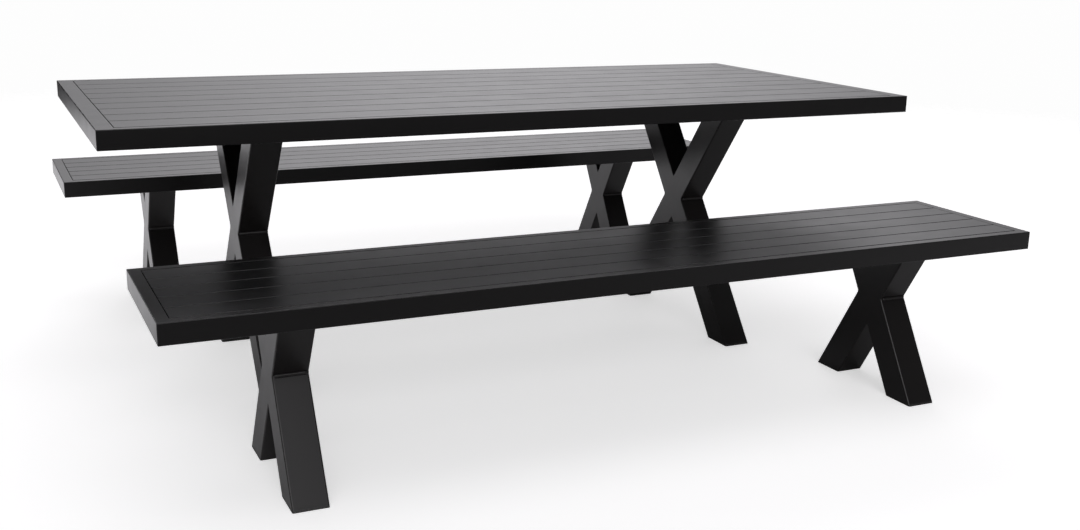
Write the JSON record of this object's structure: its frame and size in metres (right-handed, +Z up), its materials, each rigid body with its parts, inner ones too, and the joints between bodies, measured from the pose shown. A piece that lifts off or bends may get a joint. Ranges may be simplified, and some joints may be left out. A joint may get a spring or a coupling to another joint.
{
  "type": "picnic table",
  "caption": "Slatted outdoor dining table on X-shaped legs, with a matching backless bench standing along each long side.",
  "frame": {"origin": "on the ground, at the centre of the footprint of the table and both benches", "axes": "+X along the table top to its right-hand end, +Y across it towards the rear bench, +Z up"},
  "size_m": [2.24, 1.93, 0.745],
  "materials": {
    "frame_coat": "satin",
    "slat_coat": "satin",
    "leg_coat": "satin",
    "foot_plastic": "matte",
    "stainless": "satin"
  },
  "bodies": {
    "table": {"table_front_rail": "frame_coat", "table_rear_rail": "frame_coat", "table_left_end_rail": "frame_coat", "table_right_end_rail": "frame_coat", "table_slat_1": "slat_coat", "table_slat_2": "slat_coat", "table_slat_3": "slat_coat", "table_slat_4": "slat_coat", "table_slat_5": "slat_coat", "table_slat_6": "slat_coat", "table_slat_7": "slat_coat", "table_slat_8": "slat_coat", "table_slat_9": "slat_coat", "table_bearers": "frame_coat", "table_slat_ledges": "frame_coat", "table_leg_plates": "leg_coat", "table_foot_caps": "foot_plastic", "table_left_leg_long_bar": "leg_coat", "table_left_leg_short_bars": "leg_coat", "table_right_leg_long_bar": "leg_coat", "table_right_leg_short_bars": "leg_coat", "table_leg_bolts": "stainless", "table_slat_screws": "stainless"},
    "front_bench": {"front_bench_front_rail": "frame_coat", "front_bench_rear_rail": "frame_coat", "front_bench_left_end_rail": "frame_coat", "front_bench_right_end_rail": "frame_coat", "front_bench_slat_1": "slat_coat", "front_bench_slat_2": "slat_coat", "front_bench_slat_3": "slat_coat", "front_bench_slat_4": "slat_coat", "front_bench_slat_5": "slat_coat", "front_bench_bearers": "frame_coat", "front_bench_slat_ledges": "frame_coat", "front_bench_leg_plates": "leg_coat", "front_bench_foot_caps": "foot_plastic", "front_bench_left_leg_long_bar": "leg_coat", "front_bench_left_leg_short_bars": "leg_coat", "front_bench_right_leg_long_bar": "leg_coat", "front_bench_right_leg_short_bars": "leg_coat", "front_bench_fixings": "stainless"},
    "rear_bench": {"rear_bench_front_rail": "frame_coat", "rear_bench_rear_rail": "frame_coat", "rear_bench_left_end_rail": "frame_coat", "rear_bench_right_end_rail": "frame_coat", "rear_bench_slat_1": "slat_coat", "rear_bench_slat_2": "slat_coat", "rear_bench_slat_3": "slat_coat", "rear_bench_slat_4": "slat_coat", "rear_bench_slat_5": "slat_coat", "rear_bench_bearers": "frame_coat", "rear_bench_slat_ledges": "frame_coat", "rear_bench_leg_plates": "leg_coat", "rear_bench_foot_caps": "foot_plastic", "rear_bench_left_leg_long_bar": "leg_coat", "rear_bench_left_leg_short_bars": "leg_coat", "rear_bench_right_leg_long_bar": "leg_coat", "rear_bench_right_leg_short_bars": "leg_coat", "rear_bench_fixings": "stainless"}
  },
  "joints": [
    {"name": "front_bench_slide", "type": "slide", "parent": "table", "child": "front_bench", "axis": [0, 1, 0], "range_m": [-0.4, 0.42]},
    {"name": "rear_bench_slide", "type": "slide", "parent": "table", "child": "rear_bench", "axis": [0, -1, 0], "range_m": [-0.4, 0.42]}
  ]
}
